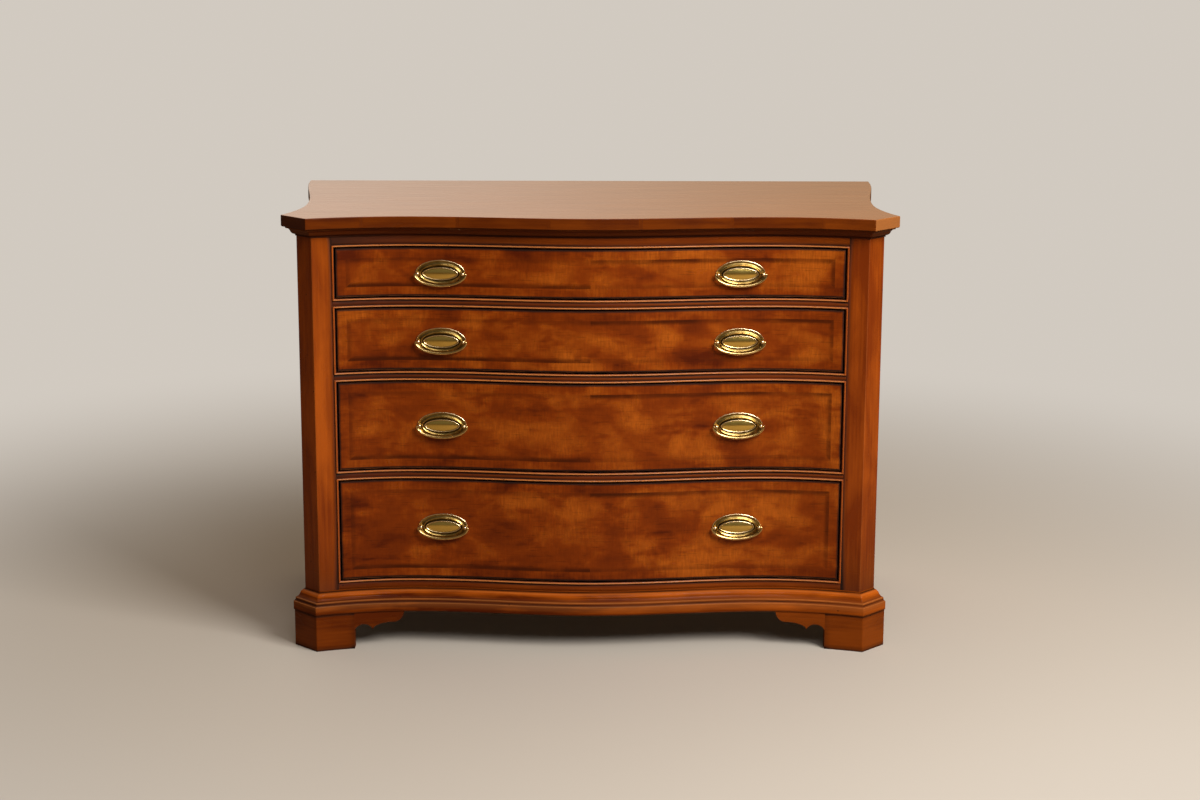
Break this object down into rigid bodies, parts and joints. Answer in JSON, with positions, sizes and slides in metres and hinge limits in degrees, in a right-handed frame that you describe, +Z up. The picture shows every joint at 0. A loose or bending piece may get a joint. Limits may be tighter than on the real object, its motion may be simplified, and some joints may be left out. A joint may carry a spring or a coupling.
{
  "type": "serpentine chest of drawers",
  "caption": "Chest with a serpentine front, canted corner posts, ogee sides and scalloped bracket feet; beaded drawers slide out on oval brass bail pulls.",
  "frame": {"origin": "middle of the plan box, at the floor under the feet", "axes": "+X to the right across the width, -Y towards the drawer fronts, +Z up"},
  "size_m": [1.156, 0.556, 0.838],
  "materials": {
    "polished_wood": "satin lacquer over a red-brown stain, darkened in the corners",
    "figured_veneer": "satin lacquer over mottled, crossbanded veneer",
    "drawer_wood": "clear sealed",
    "panel_wood": "unpolished panel",
    "brass": "polished with dark antiqued hollows"
  },
  "bodies": {
    "carcass": {"top_board": "polished_wood", "bed_moulding": "polished_wood", "left_stile": "polished_wood", "right_stile": "polished_wood", "left_side_panel": "figured_veneer", "right_side_panel": "figured_veneer", "back_panel": "panel_wood", "top_rail": "polished_wood", "rail_1": "polished_wood", "rail_2": "polished_wood", "rail_3": "polished_wood", "bottom_rail": "polished_wood", "dust_board_1": "panel_wood", "dust_board_2": "panel_wood", "dust_board_3": "panel_wood", "dust_board_4": "panel_wood", "top_rear_rail": "drawer_wood", "base_rear_rail": "drawer_wood", "base_moulding": "polished_wood", "front_left_foot": "polished_wood", "front_right_foot": "polished_wood", "rear_left_foot": "polished_wood", "rear_right_foot": "polished_wood"},
    "drawer_1": {"drawer_1_front": "figured_veneer", "drawer_1_left_side": "drawer_wood", "drawer_1_right_side": "drawer_wood", "drawer_1_back": "drawer_wood", "drawer_1_bottom": "panel_wood", "drawer_1_left_plate": "brass", "drawer_1_right_plate": "brass"},
    "drawer_1_left_bail": {"drawer_1_left_bail": "brass"},
    "drawer_1_right_bail": {"drawer_1_right_bail": "brass"},
    "drawer_2": {"drawer_2_front": "figured_veneer", "drawer_2_left_side": "drawer_wood", "drawer_2_right_side": "drawer_wood", "drawer_2_back": "drawer_wood", "drawer_2_bottom": "panel_wood", "drawer_2_left_plate": "brass", "drawer_2_right_plate": "brass"},
    "drawer_2_left_bail": {"drawer_2_left_bail": "brass"},
    "drawer_2_right_bail": {"drawer_2_right_bail": "brass"},
    "drawer_3": {"drawer_3_front": "figured_veneer", "drawer_3_left_side": "drawer_wood", "drawer_3_right_side": "drawer_wood", "drawer_3_back": "drawer_wood", "drawer_3_bottom": "panel_wood", "drawer_3_left_plate": "brass", "drawer_3_right_plate": "brass"},
    "drawer_3_left_bail": {"drawer_3_left_bail": "brass"},
    "drawer_3_right_bail": {"drawer_3_right_bail": "brass"},
    "drawer_4": {"drawer_4_front": "figured_veneer", "drawer_4_left_side": "drawer_wood", "drawer_4_right_side": "drawer_wood", "drawer_4_back": "drawer_wood", "drawer_4_bottom": "panel_wood", "drawer_4_left_plate": "brass", "drawer_4_right_plate": "brass"},
    "drawer_4_left_bail": {"drawer_4_left_bail": "brass"},
    "drawer_4_right_bail": {"drawer_4_right_bail": "brass"}
  },
  "joints": [
    {"name": "drawer_1_slide", "type": "slide", "parent": "carcass", "child": "drawer_1", "axis": [0, -1, 0], "range_m": [0, 0.32]},
    {"name": "drawer_1_left_bail_hinge", "type": "hinge", "parent": "drawer_1", "child": "drawer_1_left_bail", "pos_m": [-0.28147, -0.23157, 0.7277], "axis": [-0.9981, 0.0621, 0], "range_deg": [0, 160]},
    {"name": "drawer_1_right_bail_hinge", "type": "hinge", "parent": "drawer_1", "child": "drawer_1_right_bail", "pos_m": [0.28147, -0.23157, 0.7277], "axis": [-0.9981, -0.0621, 0], "range_deg": [0, 160]},
    {"name": "drawer_2_slide", "type": "slide", "parent": "carcass", "child": "drawer_2", "axis": [0, -1, 0], "range_m": [0, 0.32]},
    {"name": "drawer_2_left_bail_hinge", "type": "hinge", "parent": "drawer_2", "child": "drawer_2_left_bail", "pos_m": [-0.28147, -0.23157, 0.5986], "axis": [-0.9981, 0.0621, 0], "range_deg": [0, 160]},
    {"name": "drawer_2_right_bail_hinge", "type": "hinge", "parent": "drawer_2", "child": "drawer_2_right_bail", "pos_m": [0.28147, -0.23157, 0.5986], "axis": [-0.9981, -0.0621, 0], "range_deg": [0, 160]},
    {"name": "drawer_3_slide", "type": "slide", "parent": "carcass", "child": "drawer_3", "axis": [0, -1, 0], "range_m": [0, 0.32]},
    {"name": "drawer_3_left_bail_hinge", "type": "hinge", "parent": "drawer_3", "child": "drawer_3_left_bail", "pos_m": [-0.28147, -0.23157, 0.4357], "axis": [-0.9981, 0.0621, 0], "range_deg": [0, 160]},
    {"name": "drawer_3_right_bail_hinge", "type": "hinge", "parent": "drawer_3", "child": "drawer_3_right_bail", "pos_m": [0.28147, -0.23157, 0.4357], "axis": [-0.9981, -0.0621, 0], "range_deg": [0, 160]},
    {"name": "drawer_4_slide", "type": "slide", "parent": "carcass", "child": "drawer_4", "axis": [0, -1, 0], "range_m": [0, 0.32]},
    {"name": "drawer_4_left_bail_hinge", "type": "hinge", "parent": "drawer_4", "child": "drawer_4_left_bail", "pos_m": [-0.28147, -0.23157, 0.23645], "axis": [-0.9981, 0.0621, 0], "range_deg": [0, 160]},
    {"name": "drawer_4_right_bail_hinge", "type": "hinge", "parent": "drawer_4", "child": "drawer_4_right_bail", "pos_m": [0.28147, -0.23157, 0.23645], "axis": [-0.9981, -0.0621, 0], "range_deg": [0, 160]}
  ]
}
